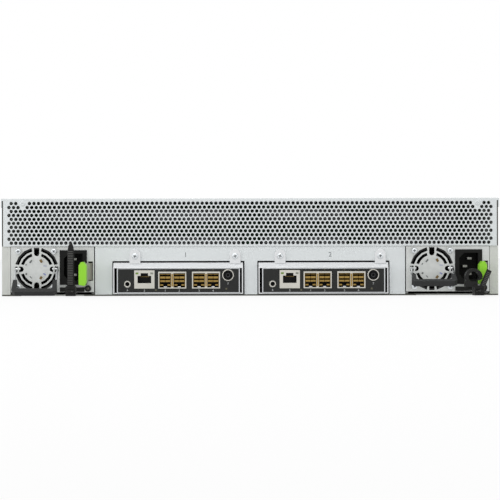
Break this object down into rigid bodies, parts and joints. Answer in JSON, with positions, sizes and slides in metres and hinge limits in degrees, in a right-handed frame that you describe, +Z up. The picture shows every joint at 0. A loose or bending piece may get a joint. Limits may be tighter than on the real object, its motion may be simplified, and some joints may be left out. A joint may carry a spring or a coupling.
{
  "type": "disk shelf enclosure",
  "caption": "Rack-mount disk shelf with front drive carriers, and rear power supplies and interface modules under a perforated panel.",
  "frame": {"origin": "centre of the chassis underside", "axes": "+Z up, +Y from the rear panel to the drive bays at the front, +X to the right seen from the rear"},
  "size_m": [0.4826, 0.541, 0.0875],
  "materials": {
    "painted_sheet": "satin pale grey paint",
    "zinc_sheet": "zinc-plated sheet steel",
    "bright_sheet": "bright sheet steel",
    "black_plastic": "moulded black",
    "grey_plastic": "moulded dark grey",
    "green_plastic": "moulded lime green",
    "fan_plastic": "moulded black",
    "black_label": "black overlay on a steel face",
    "circuit_board": "green laminate with parts",
    "screw_metal": "plated screws",
    "drive_metal": "cast drive body in a plastic carrier",
    "nylon": "black nylon",
    "inlet_plastic": "black moulded inlet with steel pins"
  },
  "bodies": {
    "chassis": {"base_tray": "painted_sheet", "top_cover": "painted_sheet", "rear_grille": "painted_sheet", "rear_bulkhead": "painted_sheet", "bay_tunnels": "zinc_sheet", "rack_ears": "painted_sheet", "drive_cage": "zinc_sheet", "midplane": "circuit_board"},
    "carrier_01": {"carrier_01": "drive_metal"},
    "lever_01": {"lever_01": "grey_plastic"},
    "carrier_02": {"carrier_02": "drive_metal"},
    "lever_02": {"lever_02": "grey_plastic"},
    "carrier_03": {"carrier_03": "drive_metal"},
    "lever_03": {"lever_03": "grey_plastic"},
    "carrier_04": {"carrier_04": "drive_metal"},
    "lever_04": {"lever_04": "grey_plastic"},
    "carrier_05": {"carrier_05": "drive_metal"},
    "lever_05": {"lever_05": "grey_plastic"},
    "carrier_06": {"carrier_06": "drive_metal"},
    "lever_06": {"lever_06": "grey_plastic"},
    "carrier_07": {"carrier_07": "drive_metal"},
    "lever_07": {"lever_07": "grey_plastic"},
    "carrier_08": {"carrier_08": "drive_metal"},
    "lever_08": {"lever_08": "grey_plastic"},
    "carrier_09": {"carrier_09": "drive_metal"},
    "lever_09": {"lever_09": "grey_plastic"},
    "carrier_10": {"carrier_10": "drive_metal"},
    "lever_10": {"lever_10": "grey_plastic"},
    "carrier_11": {"carrier_11": "drive_metal"},
    "lever_11": {"lever_11": "grey_plastic"},
    "carrier_12": {"carrier_12": "drive_metal"},
    "lever_12": {"lever_12": "grey_plastic"},
    "psu_left": {"psu_left_case": "zinc_sheet", "psu_left_fan_frame": "fan_plastic", "psu_left_inlet": "inlet_plastic", "psu_left_screws_and_lamp": "screw_metal", "psu_left_board": "circuit_board", "psu_left_tie_strap": "nylon"},
    "psu_left_rotor": {"psu_left_fan_rotor": "fan_plastic"},
    "psu_left_bail": {"psu_left_bail": "grey_plastic"},
    "psu_left_latch": {"psu_left_latch": "green_plastic"},
    "psu_left_clamp": {"psu_left_cord_clamp": "nylon"},
    "psu_right": {"psu_right_case": "zinc_sheet", "psu_right_fan_frame": "fan_plastic", "psu_right_inlet": "inlet_plastic", "psu_right_screws_and_lamp": "screw_metal", "psu_right_board": "circuit_board", "psu_right_tie_strap": "nylon"},
    "psu_right_rotor": {"psu_right_fan_rotor": "fan_plastic"},
    "psu_right_bail": {"psu_right_bail": "grey_plastic"},
    "psu_right_latch": {"psu_right_latch": "green_plastic"},
    "psu_right_clamp": {"psu_right_cord_clamp": "nylon"},
    "io_1": {"io_1_case": "bright_sheet", "io_1_face": "black_label", "io_1_board": "circuit_board", "io_1_screws": "screw_metal"},
    "io_2": {"io_2_case": "bright_sheet", "io_2_face": "black_label", "io_2_board": "circuit_board", "io_2_screws": "screw_metal"}
  },
  "joints": [
    {"name": "carrier_01_slide", "type": "slide", "parent": "chassis", "child": "carrier_01", "axis": [0, 1, 0], "range_m": [0, 0.21]},
    {"name": "lever_01_hinge", "type": "hinge", "parent": "carrier_01", "child": "lever_01", "pos_m": [-0.2155, 0.2392, 0.0155], "axis": [0, 0, 1], "range_deg": [0, 60]},
    {"name": "carrier_02_slide", "type": "slide", "parent": "chassis", "child": "carrier_02", "axis": [0, 1, 0], "range_m": [0, 0.21]},
    {"name": "lever_02_hinge", "type": "hinge", "parent": "carrier_02", "child": "lever_02", "pos_m": [-0.1046, 0.2392, 0.0155], "axis": [0, 0, 1], "range_deg": [0, 60]},
    {"name": "carrier_03_slide", "type": "slide", "parent": "chassis", "child": "carrier_03", "axis": [0, 1, 0], "range_m": [0, 0.21]},
    {"name": "lever_03_hinge", "type": "hinge", "parent": "carrier_03", "child": "lever_03", "pos_m": [0.0063, 0.2392, 0.0155], "axis": [0, 0, 1], "range_deg": [0, 60]},
    {"name": "carrier_04_slide", "type": "slide", "parent": "chassis", "child": "carrier_04", "axis": [0, 1, 0], "range_m": [0, 0.21]},
    {"name": "lever_04_hinge", "type": "hinge", "parent": "carrier_04", "child": "lever_04", "pos_m": [0.1172, 0.2392, 0.0155], "axis": [0, 0, 1], "range_deg": [0, 60]},
    {"name": "carrier_05_slide", "type": "slide", "parent": "chassis", "child": "carrier_05", "axis": [0, 1, 0], "range_m": [0, 0.21]},
    {"name": "lever_05_hinge", "type": "hinge", "parent": "carrier_05", "child": "lever_05", "pos_m": [-0.2155, 0.2392, 0.0437], "axis": [0, 0, 1], "range_deg": [0, 60]},
    {"name": "carrier_06_slide", "type": "slide", "parent": "chassis", "child": "carrier_06", "axis": [0, 1, 0], "range_m": [0, 0.21]},
    {"name": "lever_06_hinge", "type": "hinge", "parent": "carrier_06", "child": "lever_06", "pos_m": [-0.1046, 0.2392, 0.0437], "axis": [0, 0, 1], "range_deg": [0, 60]},
    {"name": "carrier_07_slide", "type": "slide", "parent": "chassis", "child": "carrier_07", "axis": [0, 1, 0], "range_m": [0, 0.21]},
    {"name": "lever_07_hinge", "type": "hinge", "parent": "carrier_07", "child": "lever_07", "pos_m": [0.0063, 0.2392, 0.0437], "axis": [0, 0, 1], "range_deg": [0, 60]},
    {"name": "carrier_08_slide", "type": "slide", "parent": "chassis", "child": "carrier_08", "axis": [0, 1, 0], "range_m": [0, 0.21]},
    {"name": "lever_08_hinge", "type": "hinge", "parent": "carrier_08", "child": "lever_08", "pos_m": [0.1172, 0.2392, 0.0437], "axis": [0, 0, 1], "range_deg": [0, 60]},
    {"name": "carrier_09_slide", "type": "slide", "parent": "chassis", "child": "carrier_09", "axis": [0, 1, 0], "range_m": [0, 0.21]},
    {"name": "lever_09_hinge", "type": "hinge", "parent": "carrier_09", "child": "lever_09", "pos_m": [-0.2155, 0.2392, 0.0719], "axis": [0, 0, 1], "range_deg": [0, 60]},
    {"name": "carrier_10_slide", "type": "slide", "parent": "chassis", "child": "carrier_10", "axis": [0, 1, 0], "range_m": [0, 0.21]},
    {"name": "lever_10_hinge", "type": "hinge", "parent": "carrier_10", "child": "lever_10", "pos_m": [-0.1046, 0.2392, 0.0719], "axis": [0, 0, 1], "range_deg": [0, 60]},
    {"name": "carrier_11_slide", "type": "slide", "parent": "chassis", "child": "carrier_11", "axis": [0, 1, 0], "range_m": [0, 0.21]},
    {"name": "lever_11_hinge", "type": "hinge", "parent": "carrier_11", "child": "lever_11", "pos_m": [0.0063, 0.2392, 0.0719], "axis": [0, 0, 1], "range_deg": [0, 60]},
    {"name": "carrier_12_slide", "type": "slide", "parent": "chassis", "child": "carrier_12", "axis": [0, 1, 0], "range_m": [0, 0.21]},
    {"name": "lever_12_hinge", "type": "hinge", "parent": "carrier_12", "child": "lever_12", "pos_m": [0.1172, 0.2392, 0.0719], "axis": [0, 0, 1], "range_deg": [0, 60]},
    {"name": "psu_left_slide", "type": "slide", "parent": "chassis", "child": "psu_left", "axis": [0, -1, 0], "range_m": [0, 0.27]},
    {"name": "psu_left_fan_spin", "type": "hinge", "parent": "psu_left", "child": "psu_left_rotor", "pos_m": [-0.1918, -0.225, 0.0241], "axis": [0, 1, 0], "continuous": true},
    {"name": "psu_left_bail_hinge", "type": "hinge", "parent": "psu_left", "child": "psu_left_bail", "pos_m": [-0.1918, -0.243, 0.0244], "axis": [-1, 0, 0], "range_deg": [-0.5, 83]},
    {"name": "psu_left_latch_flex", "type": "hinge", "parent": "psu_left", "child": "psu_left_latch", "pos_m": [-0.1417, -0.218, 0.0221], "axis": [0, 0, 1], "range_deg": [-2.5, 0], "stiffness_Nm_per_rad": 0.6},
    {"name": "psu_left_clamp_slide", "type": "slide", "parent": "psu_left", "child": "psu_left_clamp", "axis": [0, -1, 0], "range_m": [-0.008, 0.01]},
    {"name": "psu_right_slide", "type": "slide", "parent": "chassis", "child": "psu_right", "axis": [0, -1, 0], "range_m": [0, 0.27]},
    {"name": "psu_right_fan_spin", "type": "hinge", "parent": "psu_right", "child": "psu_right_rotor", "pos_m": [0.1634, -0.225, 0.0241], "axis": [0, 1, 0], "continuous": true},
    {"name": "psu_right_bail_hinge", "type": "hinge", "parent": "psu_right", "child": "psu_right_bail", "pos_m": [0.1634, -0.243, 0.0244], "axis": [-1, 0, 0], "range_deg": [-18.5, 65]},
    {"name": "psu_right_latch_flex", "type": "hinge", "parent": "psu_right", "child": "psu_right_latch", "pos_m": [0.2135, -0.218, 0.0221], "axis": [0, 0, 1], "range_deg": [-2.5, 0], "stiffness_Nm_per_rad": 0.6},
    {"name": "psu_right_clamp_slide", "type": "slide", "parent": "psu_right", "child": "psu_right_clamp", "axis": [0.1392, -0.9903, 0], "range_m": [0, 0.01]},
    {"name": "io_1_slide", "type": "slide", "parent": "chassis", "child": "io_1", "axis": [0, -1, 0], "range_m": [0, 0.25]},
    {"name": "io_2_slide", "type": "slide", "parent": "chassis", "child": "io_2", "axis": [0, -1, 0], "range_m": [0, 0.25]}
  ]
}
